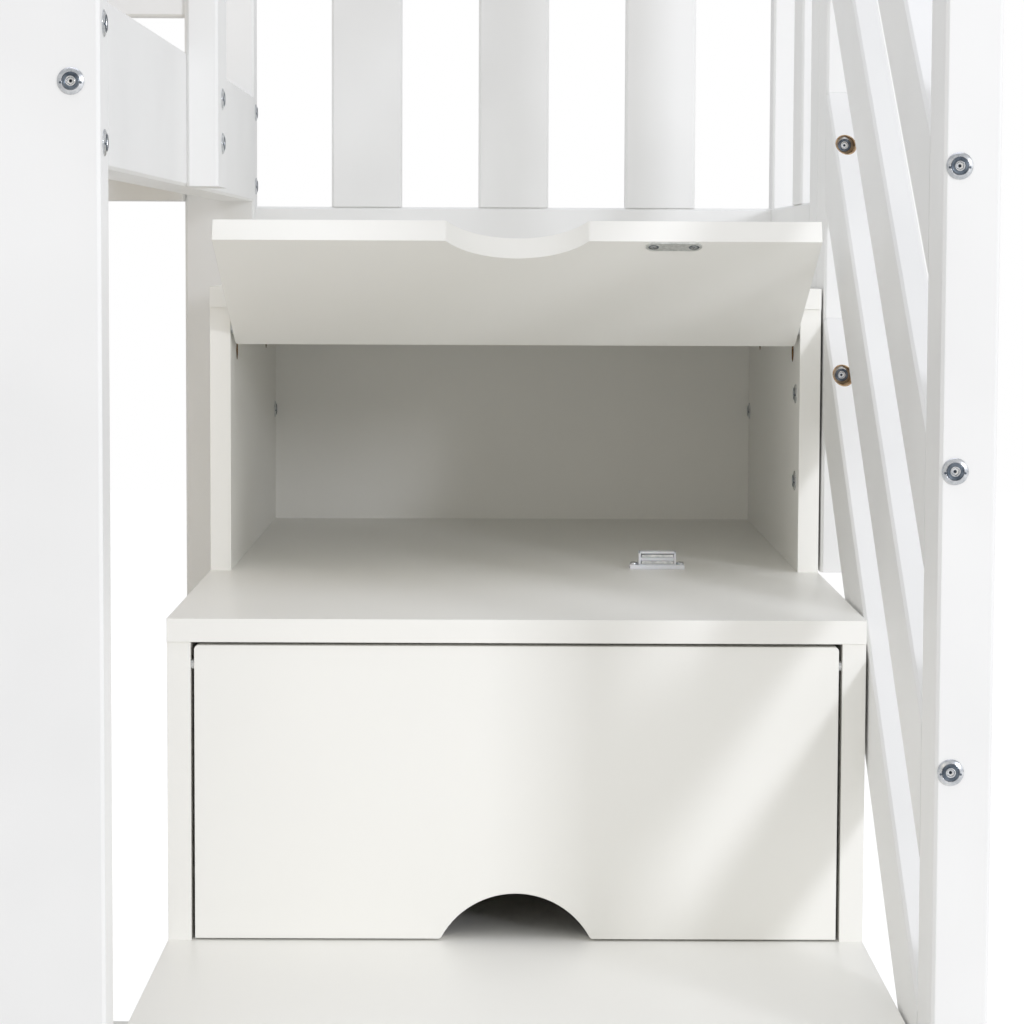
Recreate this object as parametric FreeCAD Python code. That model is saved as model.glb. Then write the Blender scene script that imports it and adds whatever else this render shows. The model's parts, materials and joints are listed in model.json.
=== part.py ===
"""Bunk bed with storage stairs, as the separate boards, flaps and fittings it is put together from.

Millimetres, +Z up. While the pieces are laid out, x = 0 is the left face of the stair boxes, y = 0 is the
front face of the bed and z = 0 is the floor. The bed lies towards -x and the stairs climb towards +y.
At the end everything is moved so that the origin is the centre of the footprint, on the floor.
"""
import FreeCAD, Part
import math
import os
from FreeCAD import Vector

# Bed frame
BED_LENGTH = 1990.0
BED_DEPTH = 1056.0
POST_HEIGHT = 1395.0
POST_WIDTH = 64.0
POST_THICKNESS = 35.0
RAIL_HEIGHT = 97.0
SIDE_RAIL_THICKNESS = 23.0
END_RAIL_THICKNESS = 33.0
UPPER_RAIL_Z = 962.0
LOWER_RAIL_Z = 85.0
LEDGE_HEIGHT = 28.0
LEDGE_THICKNESS = 23.0
BED_SLAT_COUNT = 13
BED_SLAT_WIDTH = 70.0
BED_SLAT_THICKNESS = 15.0
BED_SLAT_CLEARANCE = 2.0
GUARD_HEIGHT = 65.0
GUARD_THICKNESS = 23.0
GUARD_Z = (1132.0, 1285.0)
ENTRY_UPRIGHT_Y = 448.0
ENTRY_UPRIGHT_WIDTH = 66.0
ENTRY_UPRIGHT_THICKNESS = 23.0
WOOD_CHAMFER = 2.0
GUARD_BOLT_OFFSET = 12.0

# Stair boxes
STAIR_WIDTH = 476.0
STEP_COUNT = 4
STEP_RISE = 222.0
STEP_RUN = 296.0
PANEL = 16.0
NOSING = 2.0
STAIR_SIDE_GAP = 2.0
FLUSH_STEP = 2
OPEN_STEP = 4

# Storage flaps
FLAP_SIDE_GAP = 2.5
FLAP_TOP_GAP = 2.4
FLAP_BOTTOM_GAP = 1.5
FLAP_CORNER_RADIUS = 3.0
FLAP_PIVOT_DEPTH = 14.0
FLAP_OPEN_ANGLE = 113.5
PIN_RADIUS = 4.0
PIN_RUNNING_CLEARANCE = 0.05
PIN_TANG_LENGTH = 12.0
PIN_TANG_RADIUS = 4.4
PIN_IN_PANEL = 10.0
PIN_END_CLEARANCE = 0.5
FINGER_ARC_CHORD = 103.0
FINGER_HEIGHT = 31.5
FINGER_FILLET = 3.0

# Magnetic catches and their strike plates
CATCH_OFFSET = 113.0
CATCH_BASE = (43.4, 14.0, 2.5)
CATCH_BODY = (29.6, 12.0, 14.0)
CATCH_BAR = (25.0, 8.0, 2.2)
CATCH_BAR_Z = (4.4, 9.6)
CATCH_BAR_PROUD = 0.3
CATCH_AIR_GAP = 0.3
STRIKE_LENGTH = 41.0
STRIKE_HEIGHT = 14.0
STRIKE_THICKNESS = 1.0
STRIKE_EDGE_MARGIN = 1.0
STRIKE_CORNER = 4.0

# Cam fittings in the side panels
CAM_RADIUS = 7.45
CAM_CLEARANCE = 0.05
CAM_THICKNESS = 11.0
CAM_HOLE_DEPTH = 12.5
CAM_BELOW_TREAD = 35.0
CAM_FROM_FRONT = 56.0
CAM_FROM_BACK = 124.0
CAM_BOLT_RADIUS = 3.0
CAM_BOLT_IN_TREAD = 11.0
CAM_BOLT_TIP_GAP = 0.5
CAM_SIDES = 8

# Handrail and landing guard
HANDRAIL_POST_THICKNESS = 33.0
HANDRAIL_POST_DEPTH = 55.0
HANDRAIL_POST_HEIGHT = 1110.0
HANDRAIL_BOARD = 18.0
STILE_WIDTH = 55.5
STILE_COUNT = 2
DIAGONAL_COUNT = 4
DIAGONAL_WIDTH = 68.0
DIAGONAL_FOOT_CLEARANCE = 114.5
DIAGONAL_TOP_CLEARANCE = 6.0
LANDING_RAIL_HEIGHT = 69.5
LANDING_SLAT_WIDTH = 65.0
LANDING_SLAT_COUNT = 3
SIDE_SLAT_GAP = 72.0

# Joint bolts and barrel nuts
BOLT_RADIUS = 3.0
BOLT_HOLE_CLEARANCE = 0.4
FLANGE_RADIUS = 7.8
HEAD_RADIUS = 4.8
HEAD_PROUD = 4.0
HEAD_SIDES = 8
SHANK_SIDES = 6
SUNK_RADIUS = 8.6
SUNK_MARGIN = 0.8
SLIM_HEAD_RADIUS = 6.4
SLIM_POCKET_RADIUS = 7.5
NUT_RADIUS = 5.0
NUT_LENGTH = 14.0
NUT_DEPTH = 28.0
BOLT_PAST_NUT = 10.0
RAIL_BOLT_SPREAD = 34.0
PANEL_BOLT_GRIP = 25.0
STILE_BOLT_GRIP = 13.0
STILE_BOLT_Z = (70.0, 139.0)

X_AXIS = Vector(1, 0, 0)
Y_AXIS = Vector(0, 1, 0)
Z_AXIS = Vector(0, 0, 1)

# Planes that several pieces share
BED_END_X = -STAIR_SIDE_GAP
BED_FAR_X = BED_END_X - BED_LENGTH
HANDRAIL_X = STAIR_WIDTH + STAIR_SIDE_GAP
STAIR_BACK_Y = BED_DEPTH
REAR_POST_Y = BED_DEPTH - POST_THICKNESS
LANDING_FRONT_Y = (OPEN_STEP - FLUSH_STEP) * STEP_RUN
LANDING_Z = STEP_COUNT * STEP_RISE
STILE_BACK_Y = LANDING_FRONT_Y + STILE_COUNT * STILE_WIDTH

nodes = {}
cutters = {}


def add(node, solid):
    """Adds one solid to a node."""
    nodes.setdefault(node, []).append(solid)
    return solid


def cut(node, tool):
    """Notes a tool that is taken out of a node once all of its solids are there."""
    cutters.setdefault(node, []).append(tool)


def block(x, y, z):
    """A box between the low and high values of x, y and z."""
    size = (x[1] - x[0], y[1] - y[0], z[1] - z[0])
    return Part.makeBox(size[0], size[1], size[2], Vector(x[0], y[0], z[0]))


def board(node, x, y, z, chamfer=0.0):
    """A board whose long edges are eased."""
    solid = block(x, y, z)
    if chamfer:
        size = [x[1] - x[0], y[1] - y[0], z[1] - z[0]]
        grain = (X_AXIS, Y_AXIS, Z_AXIS)[size.index(max(size))]
        edges = [edge for edge in solid.Edges if is_along(edge, grain)]
        solid = solid.makeChamfer(chamfer, edges)
    return add(node, solid)


def is_along(edge, direction):
    """True for a straight edge that runs along a direction."""
    if len(edge.Vertexes) != 2:
        return False
    span = edge.Vertexes[1].Point.sub(edge.Vertexes[0].Point)
    return span.cross(direction).Length < 1e-6 * span.Length


def rod(start, direction, length, radius):
    return Part.makeCylinder(radius, length, start, direction)


def ring(centre, direction, radius, sides):
    """A closed wire with flat sides round an axis that is parallel to x, y or z."""
    across = Vector(direction.y, direction.z, direction.x)
    upward = direction.cross(across)
    turns = [2 * math.pi * index / sides for index in range(sides + 1)]
    return Part.makePolygon([centre + across * (radius * math.cos(turn)) + upward * (radius * math.sin(turn))
                             for turn in turns])


def faceted_rod(start, direction, length, radius, sides):
    """A plain many-sided rod, for small fittings that repeat."""
    return Part.Face(ring(start, direction, radius, sides)).extrude(direction * length)


def centred(middle, width):
    return (middle - width / 2, middle + width / 2)


def middle_of(span):
    return (span[0] + span[1]) / 2


# ---------------------------------------------------------------- joint bolts

def bolt(seat, inward, length, through, sunk=False, slim=False):
    """A flanged bolt whose head sits at seat, with its clearance hole in each node it passes."""
    if sunk:
        pocket_depth = HEAD_PROUD + SUNK_MARGIN
        cut(through[0], faceted_rod(seat, inward, pocket_depth, SUNK_RADIUS, HEAD_SIDES))
        seat = seat + inward * pocket_depth
        length = length - pocket_depth
    flange = SLIM_HEAD_RADIUS if slim else FLANGE_RADIUS
    head = Part.makeLoft([ring(seat, inward, flange, HEAD_SIDES),
                          ring(seat - inward * HEAD_PROUD, inward, HEAD_RADIUS, HEAD_SIDES)], True)
    add("frame_bolts", head.fuse(faceted_rod(seat, inward, length, BOLT_RADIUS, SHANK_SIDES)))
    hole = faceted_rod(seat, inward, length, BOLT_RADIUS + BOLT_HOLE_CLEARANCE, SHANK_SIDES)
    for node in through:
        cut(node, hole)


def nut_bolt(seat, inward, cover, through, nut_way, face_distance, sunk=False, slim=False):
    """A bolt that passes a cover thickness and pulls on a barrel nut in the last node of through."""
    to_nut = cover + NUT_DEPTH
    length = to_nut + BOLT_PAST_NUT
    bolt(seat, inward, length, through, sunk, slim)
    centre = seat + inward * to_nut
    low = centre - nut_way * (NUT_LENGTH / 2)
    nut = faceted_rod(low, nut_way, NUT_LENGTH, NUT_RADIUS, SHANK_SIDES)
    nut = nut.cut(faceted_rod(seat, inward, length, BOLT_RADIUS, SHANK_SIDES))
    add("barrel_nuts", nut)
    cut(through[-1], faceted_rod(low, nut_way, NUT_LENGTH / 2 + face_distance, NUT_RADIUS, SHANK_SIDES))


# ---------------------------------------------------------------- bed frame

POST_X = {"stair_end": (BED_END_X - POST_WIDTH, BED_END_X), "far_end": (BED_FAR_X, BED_FAR_X + POST_WIDTH)}
POST_Y = {"front": (0.0, POST_THICKNESS), "rear": (REAR_POST_Y, BED_DEPTH)}
END_RAIL_X = {"stair_end": (BED_END_X - END_RAIL_THICKNESS, BED_END_X),
              "far_end": (BED_FAR_X, BED_FAR_X + END_RAIL_THICKNESS)}
RAIL_Z = {"upper": UPPER_RAIL_Z, "lower": LOWER_RAIL_Z}
END_INWARD = {"stair_end": X_AXIS * -1, "far_end": X_AXIS}
SIDE_INWARD = {"front": Y_AXIS, "rear": Y_AXIS * -1}
BETWEEN_POSTS_X = (POST_X["far_end"][1], POST_X["stair_end"][0])
BETWEEN_POSTS_Y = (POST_Y["front"][1], POST_Y["rear"][0])


def post_name(side, end):
    return "post_" + side + "_" + end


def outer_x(end):
    return POST_X[end][1] if end == "stair_end" else POST_X[end][0]


def outer_y(side):
    return POST_Y[side][0] if side == "front" else POST_Y[side][1]


def make_posts():
    for end in POST_X:
        for side in POST_Y:
            board(post_name(side, end), POST_X[end], POST_Y[side], (0.0, POST_HEIGHT), WOOD_CHAMFER)


def fasten(seat, inward, cover, through, nut_way, thickness, nuts, sunk=False):
    """Joins a board's end through its post: a rail with a barrel nut, a guard board with a plain screw."""
    if nuts:
        nut_bolt(seat, inward, cover, through, nut_way, thickness / 2, sunk)
    else:
        bolt(seat, inward, cover + PANEL_BOLT_GRIP, through, sunk)


def side_board(node, side, z, thickness, bolt_heights, nuts):
    """A board between two posts along the bed, bolted through both posts."""
    y = centred(middle_of(POST_Y[side]), thickness)
    board(node, BETWEEN_POSTS_X, y, z, WOOD_CHAMFER)
    for end in POST_X:
        for height in bolt_heights:
            seat = Vector(outer_x(end), middle_of(y), height)
            beside_stairs = height < LANDING_Z or (side == "rear" and height > GUARD_Z[-1])
            fasten(seat, END_INWARD[end], POST_WIDTH, [post_name(side, end), node], SIDE_INWARD[side],
                   thickness, nuts, sunk=end == "stair_end" and beside_stairs)
    return y


def end_board(node, end, x, y, z, sides, bolt_z, nuts):
    """A board across the bed, bolted through the posts it ends on."""
    board(node, x, y, z, WOOD_CHAMFER)
    for side in sides:
        seat = Vector(middle_of(x), outer_y(side), bolt_z)
        fasten(seat, SIDE_INWARD[side], POST_THICKNESS, [post_name(side, end), node], END_INWARD[end],
               x[1] - x[0], nuts)


def make_bunk(level):
    """Rails, ledges and slats of one bunk."""
    z = (RAIL_Z[level], RAIL_Z[level] + RAIL_HEIGHT)
    heights = (middle_of(z) - RAIL_BOLT_SPREAD, middle_of(z) + RAIL_BOLT_SPREAD)
    ledge_z = (z[0], z[0] + LEDGE_HEIGHT)
    inner = {}
    for side in POST_Y:
        y = side_board(level + "_side_rail_" + side, side, z, SIDE_RAIL_THICKNESS, heights, True)
        inner[side] = y[1] if side == "front" else y[0]
        far = inner[side] + SIDE_INWARD[side].y * LEDGE_THICKNESS
        board(level + "_slat_ledge_" + side, BETWEEN_POSTS_X, tuple(sorted((inner[side], far))), ledge_z)
    for end in END_RAIL_X:
        end_board(level + "_end_rail_" + end, end, END_RAIL_X[end], BETWEEN_POSTS_Y, z, POST_Y, middle_of(z),
                  True)
    length = BETWEEN_POSTS_X[1] - BETWEEN_POSTS_X[0]
    pitch = (length - BED_SLAT_WIDTH) / (BED_SLAT_COUNT - 1)
    slat_y = (inner["front"] + BED_SLAT_CLEARANCE, inner["rear"] - BED_SLAT_CLEARANCE)
    for index in range(BED_SLAT_COUNT):
        start = BETWEEN_POSTS_X[0] + index * pitch
        board(level + "_bed_slats", (start, start + BED_SLAT_WIDTH), slat_y,
              (ledge_z[1], ledge_z[1] + BED_SLAT_THICKNESS))


def make_guards():
    """Two guard boards on every side of the upper bunk, with the way in left open at the stairs."""
    upright_y = (ENTRY_UPRIGHT_Y, ENTRY_UPRIGHT_Y + ENTRY_UPRIGHT_WIDTH)
    upright_x = (BED_END_X, BED_END_X + ENTRY_UPRIGHT_THICKNESS)
    upright_top = GUARD_Z[-1] + GUARD_HEIGHT
    board("entry_upright", upright_x, upright_y, (UPPER_RAIL_Z, upright_top), WOOD_CHAMFER)
    for low in GUARD_Z:
        z = (low, low + GUARD_HEIGHT)
        for side in POST_Y:
            heights = (middle_of(z) + GUARD_BOLT_OFFSET,)
            side_board("guard_boards_" + side, side, z, GUARD_THICKNESS, heights, False)
        end_bolt_z = middle_of(z) - GUARD_BOLT_OFFSET
        far_x = centred(middle_of(END_RAIL_X["far_end"]), GUARD_THICKNESS)
        end_board("guard_boards_far_end", "far_end", far_x, BETWEEN_POSTS_Y, z, POST_Y, end_bolt_z, False)
        end_x = (BED_END_X - GUARD_THICKNESS, BED_END_X)
        end_y = (POST_THICKNESS, upright_y[1])
        end_board("guard_boards_stair_end", "stair_end", end_x, end_y, z, ("front",), end_bolt_z, False)
        seat = Vector(upright_x[1], middle_of(upright_y), middle_of(z))
        bolt(seat, X_AXIS * -1, ENTRY_UPRIGHT_THICKNESS + STILE_BOLT_GRIP,
             ["entry_upright", "guard_boards_stair_end"])
    rail_middle = UPPER_RAIL_Z + RAIL_HEIGHT / 2
    for height in (rail_middle - GUARD_HEIGHT / 4, rail_middle + GUARD_HEIGHT / 4):
        seat = Vector(upright_x[1], middle_of(upright_y), height)
        bolt(seat, X_AXIS * -1, ENTRY_UPRIGHT_THICKNESS + PANEL_BOLT_GRIP,
             ["entry_upright", "upper_end_rail_stair_end"])


# ---------------------------------------------------------------- stair boxes

def step_front(step):
    return (step - FLUSH_STEP) * STEP_RUN


def box_floor(step):
    return PANEL if step == 1 else (step - 1) * STEP_RISE


def box_ceiling(step):
    return step * STEP_RISE - PANEL


def make_step(step):
    """One layer of the stairs: two side panels, a back and the tread that lies on them."""
    front, floor, ceiling = step_front(step), box_floor(step), box_ceiling(step)
    sides, tread = "step_%d_sides" % step, "step_%d_tread" % step
    for x in ((0.0, PANEL), (STAIR_WIDTH - PANEL, STAIR_WIDTH)):
        board(sides, x, (front, STAIR_BACK_Y), (floor, ceiling))
    board("step_backs", (PANEL, STAIR_WIDTH - PANEL), (STAIR_BACK_Y - PANEL, STAIR_BACK_Y), (floor, ceiling))
    tread_x = (0.0, STAIR_WIDTH)
    board(tread, tread_x, (front - NOSING, STAIR_BACK_Y), (ceiling, ceiling + PANEL))
    if step == 1:
        board("base_board", tread_x, (front - NOSING, STAIR_BACK_Y), (0.0, PANEL))
    for inner_x, inward in ((PANEL, -1.0), (STAIR_WIDTH - PANEL, 1.0)):
        for y in (front + CAM_FROM_FRONT, STAIR_BACK_Y - CAM_FROM_BACK):
            cam_fitting(sides, tread, inner_x, inward, y, ceiling)


def cam_fitting(sides, tread, inner_x, inward, y, ceiling):
    """A cam disc in the panel's inner face and the bolt that it draws down from the tread."""
    way = X_AXIS * inward
    centre = Vector(inner_x, y, ceiling - CAM_BELOW_TREAD)
    cut(sides, faceted_rod(centre, way, CAM_HOLE_DEPTH, CAM_RADIUS + CAM_CLEARANCE, CAM_SIDES))
    disc_start = centre + way * (CAM_HOLE_DEPTH - CAM_THICKNESS)
    add("cam_fittings", faceted_rod(disc_start, way, CAM_THICKNESS, CAM_RADIUS, CAM_SIDES))
    foot = centre + way * (PANEL / 2) + Z_AXIS * (CAM_RADIUS + CAM_BOLT_TIP_GAP)
    length = ceiling - foot.z + CAM_BOLT_IN_TREAD
    add("cam_fittings", faceted_rod(foot, Z_AXIS, length, CAM_BOLT_RADIUS, SHANK_SIDES))
    cut(sides, faceted_rod(foot - Z_AXIS * CAM_RADIUS, Z_AXIS, length, CAM_BOLT_RADIUS + BOLT_HOLE_CLEARANCE,
                           SHANK_SIDES))
    cut(tread, faceted_rod(foot, Z_AXIS, length, CAM_BOLT_RADIUS, SHANK_SIDES))


def finger_notch(x_middle, y, bottom):
    """The round tool that cuts the half-moon finger hold in a flap's lower edge."""
    radius = (FINGER_ARC_CHORD ** 2 / 4 + FINGER_HEIGHT ** 2) / (2 * FINGER_HEIGHT)
    centre = Vector(x_middle, y[0], bottom + FINGER_HEIGHT - radius)
    return rod(centre, Y_AXIS, y[1] - y[0], radius)


def make_flap(step):
    """A flap with its pins and strike plate, and the catch behind it; one of them stands open."""
    front, floor, ceiling = step_front(step), box_floor(step), box_ceiling(step)
    name = "flap_%d" % step
    x = (PANEL + FLAP_SIDE_GAP, STAIR_WIDTH - PANEL - FLAP_SIDE_GAP)
    y = (front, front + PANEL)
    z = (floor + FLAP_BOTTOM_GAP, ceiling - FLAP_TOP_GAP)
    pivot = Vector(0.0, middle_of(y), z[1] - FLAP_PIVOT_DEPTH)
    leaf = block(x, y, z).cut(finger_notch(middle_of(x), y, z[0]))
    corners = [edge for edge in leaf.Edges if is_along(edge, Y_AXIS) and edge.CenterOfMass.z > z[1] - 1]
    leaf = leaf.makeFillet(FLAP_CORNER_RADIUS, corners)
    ends = [edge for edge in leaf.Edges if is_along(edge, Y_AXIS) and is_notch_end(edge, middle_of(x), z[0])]
    leaf = leaf.makeFillet(FINGER_FILLET, ends)
    pins = []
    for inner, outward in ((x[0], X_AXIS * -1), (x[1], X_AXIS)):
        root = Vector(inner, pivot.y, pivot.z)
        tang = faceted_rod(root - outward * PIN_TANG_LENGTH, outward, PIN_TANG_LENGTH, PIN_TANG_RADIUS,
                           SHANK_SIDES)
        pins.append(tang.fuse(rod(root, outward, FLAP_SIDE_GAP + PIN_IN_PANEL, PIN_RADIUS)))
        hole = rod(root + outward * FLAP_SIDE_GAP, outward, PIN_IN_PANEL + PIN_END_CLEARANCE,
                   PIN_RADIUS + PIN_RUNNING_CLEARANCE)
        cut("step_%d_sides" % step, hole)
    leaf = leaf.cut(Part.makeCompound(pins))
    strike = strike_plate(y[1], z[0])
    pieces = [(leaf, name), (strike, name + "_strike_plate")] + [(pin, name + "_pins") for pin in pins]
    for piece, node in pieces:
        if step == OPEN_STEP:
            piece.rotate(pivot, X_AXIS, -FLAP_OPEN_ANGLE)
        add(node, piece)
    make_catch(y[1] + STRIKE_THICKNESS + CATCH_AIR_GAP, floor)


def is_notch_end(edge, x_middle, bottom):
    """True for the two edges where the finger notch meets the flap's lower edge."""
    middle = edge.CenterOfMass
    return abs(middle.z - bottom) < 0.01 and abs(abs(middle.x - x_middle) - FINGER_ARC_CHORD / 2) < 0.1


def strike_plate(y, flap_bottom):
    """A flat steel plate with cut corners on the flap's inner face."""
    z_middle = flap_bottom + STRIKE_EDGE_MARGIN + STRIKE_HEIGHT / 2
    x_middle = STAIR_WIDTH / 2 + CATCH_OFFSET
    plate = block(centred(x_middle, STRIKE_LENGTH), (y, y + STRIKE_THICKNESS),
                  centred(z_middle, STRIKE_HEIGHT))
    corners = [edge for edge in plate.Edges if is_along(edge, Y_AXIS)]
    return plate.makeChamfer(STRIKE_CORNER, corners)


def make_catch(bar_front, floor):
    """A magnetic catch screwed to the board behind the flap, with two steel bars in its body."""
    x_middle = STAIR_WIDTH / 2 + CATCH_OFFSET
    body_front = bar_front + CATCH_BAR_PROUD
    base = block(centred(x_middle, CATCH_BASE[0]), (body_front, body_front + CATCH_BASE[1]),
                 (floor, floor + CATCH_BASE[2]))
    body = block(centred(x_middle, CATCH_BODY[0]), (body_front, body_front + CATCH_BODY[1]),
                 (floor, floor + CATCH_BODY[2]))
    case = base.fuse(body).removeSplitter()
    for low in CATCH_BAR_Z:
        bar = block(centred(x_middle, CATCH_BAR[0]), (bar_front, bar_front + CATCH_BAR[1]),
                    (floor + low, floor + low + CATCH_BAR[2]))
        add("catch_steel_bars", bar)
        case = case.cut(bar)
    add("catch_bodies", case)


def make_panel_bolts():
    """Bolts from inside the boxes into the posts and stiles beside them."""
    left_posts = {"front": post_name("front", "stair_end"), "rear": post_name("rear", "stair_end")}
    right_posts = {"front": "handrail_front_post", "rear": "landing_corner_post"}
    rear_y = STAIR_BACK_Y - PANEL - FLANGE_RADIUS - SUNK_MARGIN
    length = PANEL + STAIR_SIDE_GAP + PANEL_BOLT_GRIP
    for step in range(1, STEP_COUNT + 1):
        sides = "step_%d_sides" % step
        height = middle_of((box_floor(step), box_ceiling(step)))
        places = [("rear", rear_y, rear_y)]
        if step <= FLUSH_STEP:
            places.append(("front", PANEL + FLANGE_RADIUS + SUNK_MARGIN, HANDRAIL_POST_DEPTH * 0.7))
        for side, left_y, right_y in places:
            bolt(Vector(PANEL, left_y, height), X_AXIS * -1, length, [sides, left_posts[side]])
            bolt(Vector(STAIR_WIDTH - PANEL, right_y, height), X_AXIS, length, [sides, right_posts[side]])
    for height in STILE_BOLT_Z:
        seat = Vector(STAIR_WIDTH - PANEL, LANDING_FRONT_Y + STILE_WIDTH / 2, box_floor(OPEN_STEP) + height)
        bolt(seat, X_AXIS, PANEL + STAIR_SIDE_GAP + STILE_BOLT_GRIP,
             ["step_%d_sides" % OPEN_STEP, "handrail_rear_stiles"])


# ---------------------------------------------------------------- handrail and landing guard

def make_handrail():
    """Front post, rear stiles and the slats that climb between them at the slope of the stairs."""
    board("handrail_front_post", (HANDRAIL_X, HANDRAIL_X + HANDRAIL_POST_THICKNESS),
          (0.0, HANDRAIL_POST_DEPTH), (0.0, HANDRAIL_POST_HEIGHT), WOOD_CHAMFER)
    thin_x = (HANDRAIL_X, HANDRAIL_X + HANDRAIL_BOARD)
    for index in range(STILE_COUNT):
        start = LANDING_FRONT_Y + index * STILE_WIDTH
        board("handrail_rear_stiles", thin_x, (start, start + STILE_WIDTH),
              (box_floor(OPEN_STEP), POST_HEIGHT), WOOD_CHAMFER)
    slope = STEP_RISE / STEP_RUN
    run = LANDING_FRONT_Y - HANDRAIL_POST_DEPTH
    half_height = DIAGONAL_WIDTH / 2 * math.sqrt(1 + slope ** 2)
    lowest = box_floor(OPEN_STEP) + DIAGONAL_FOOT_CLEARANCE + half_height
    highest = POST_HEIGHT - DIAGONAL_TOP_CLEARANCE - half_height
    for index in range(DIAGONAL_COUNT):
        node = "handrail_slat_%d" % (index + 1)
        rear_z = lowest + index * (highest - lowest) / (DIAGONAL_COUNT - 1)
        front_z = rear_z - slope * run
        outline = [Vector(HANDRAIL_X, HANDRAIL_POST_DEPTH, front_z - half_height),
                   Vector(HANDRAIL_X, LANDING_FRONT_Y, rear_z - half_height),
                   Vector(HANDRAIL_X, LANDING_FRONT_Y, rear_z + half_height),
                   Vector(HANDRAIL_X, HANDRAIL_POST_DEPTH, front_z + half_height)]
        face = Part.Face(Part.makePolygon(outline + outline[:1]))
        slat = face.extrude(X_AXIS * HANDRAIL_BOARD)
        climb = outline[1].sub(outline[0])
        long_edges = [edge for edge in slat.Edges if is_along(edge, climb)]
        add(node, slat.makeChamfer(WOOD_CHAMFER, long_edges))
        front_bolt_z = front_z + slope * NUT_DEPTH
        nut_bolt(Vector(middle_of(thin_x), 0.0, front_bolt_z), Y_AXIS, HANDRAIL_POST_DEPTH,
                 ["handrail_front_post", node], X_AXIS, HANDRAIL_BOARD / 2)
        seat_back = (half_height - SLIM_POCKET_RADIUS) / slope - SUNK_MARGIN * 2
        seat = Vector(middle_of(thin_x), LANDING_FRONT_Y - seat_back, rear_z)
        pocket_length = half_height / slope + SLIM_POCKET_RADIUS / slope
        cut(node, faceted_rod(seat, Y_AXIS * -1, pocket_length, SLIM_POCKET_RADIUS, CAM_SIDES))
        nut_bolt(seat, Y_AXIS, seat_back, [node, "handrail_rear_stiles"], X_AXIS, HANDRAIL_BOARD / 2,
                 slim=True)


def make_landing_guard():
    """Corner post, rails and upright slats round the two outer sides of the landing."""
    thin_x = (HANDRAIL_X, HANDRAIL_X + HANDRAIL_BOARD)
    rear_x = (BED_END_X, HANDRAIL_X)
    rear_y = centred(middle_of(POST_Y["rear"]), HANDRAIL_BOARD)
    side_y = (STILE_BACK_Y, REAR_POST_Y)
    board("landing_corner_post", (HANDRAIL_X, HANDRAIL_X + HANDRAIL_POST_THICKNESS), POST_Y["rear"],
          (0.0, POST_HEIGHT), WOOD_CHAMFER)
    bottom_z = (LANDING_Z, LANDING_Z + LANDING_RAIL_HEIGHT)
    top_z = (GUARD_Z[-1], GUARD_Z[-1] + GUARD_HEIGHT)
    for level, z in (("bottom", bottom_z), ("top", top_z)):
        board("landing_%s_rails" % level, rear_x, rear_y, z, WOOD_CHAMFER)
        board("landing_%s_rails" % level, thin_x, side_y, z, WOOD_CHAMFER)
    slat_z = (bottom_z[1], top_z[0])
    gap = (rear_x[1] - rear_x[0] - LANDING_SLAT_COUNT * LANDING_SLAT_WIDTH) / (LANDING_SLAT_COUNT + 1)
    for index in range(LANDING_SLAT_COUNT):
        start = rear_x[0] + gap + index * (gap + LANDING_SLAT_WIDTH)
        board("landing_guard_slats", (start, start + LANDING_SLAT_WIDTH), rear_y, slat_z, WOOD_CHAMFER)
    start = STILE_BACK_Y + SIDE_SLAT_GAP
    board("landing_guard_slats", thin_x, (start, start + LANDING_SLAT_WIDTH), slat_z, WOOD_CHAMFER)


# ---------------------------------------------------------------- assembly

def finished(node):
    """A node's solids with everything that is drilled or cut out of them taken away."""
    done = []
    for solid in nodes[node]:
        tools = [tool for tool in cutters.get(node, []) if tool.BoundBox.intersect(solid.BoundBox)]
        if tools:
            solid = solid.cut(Part.makeCompound(tools))
        done.extend(solid.Solids)
    return done


def main():
    make_posts()
    for level in RAIL_Z:
        make_bunk(level)
    make_guards()
    for step in range(1, STEP_COUNT + 1):
        make_step(step)
        make_flap(step)
    make_handrail()
    make_landing_guard()
    make_panel_bolts()

    x_span = (BED_FAR_X - HEAD_PROUD, HANDRAIL_X + HANDRAIL_POST_THICKNESS)
    y_span = (step_front(1) - NOSING, BED_DEPTH + HEAD_PROUD)
    to_origin = Vector(-middle_of(x_span), -middle_of(y_span), 0.0)

    os.makedirs("parts", exist_ok=True)
    for node in nodes:
        shape = Part.makeCompound(finished(node))
        shape.translate(to_origin)
        shape.exportStep("parts/%s.step" % node)
    print("nodes", len(nodes), "origin at", [round(-value, 3) for value in to_origin])


main()
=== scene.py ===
"""Looks of the bunk bed with storage stairs: painted timber, lacquered board, metal fittings and light."""
import bmesh
import bpy
import json
import math
from mathutils import Matrix, Vector


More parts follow.
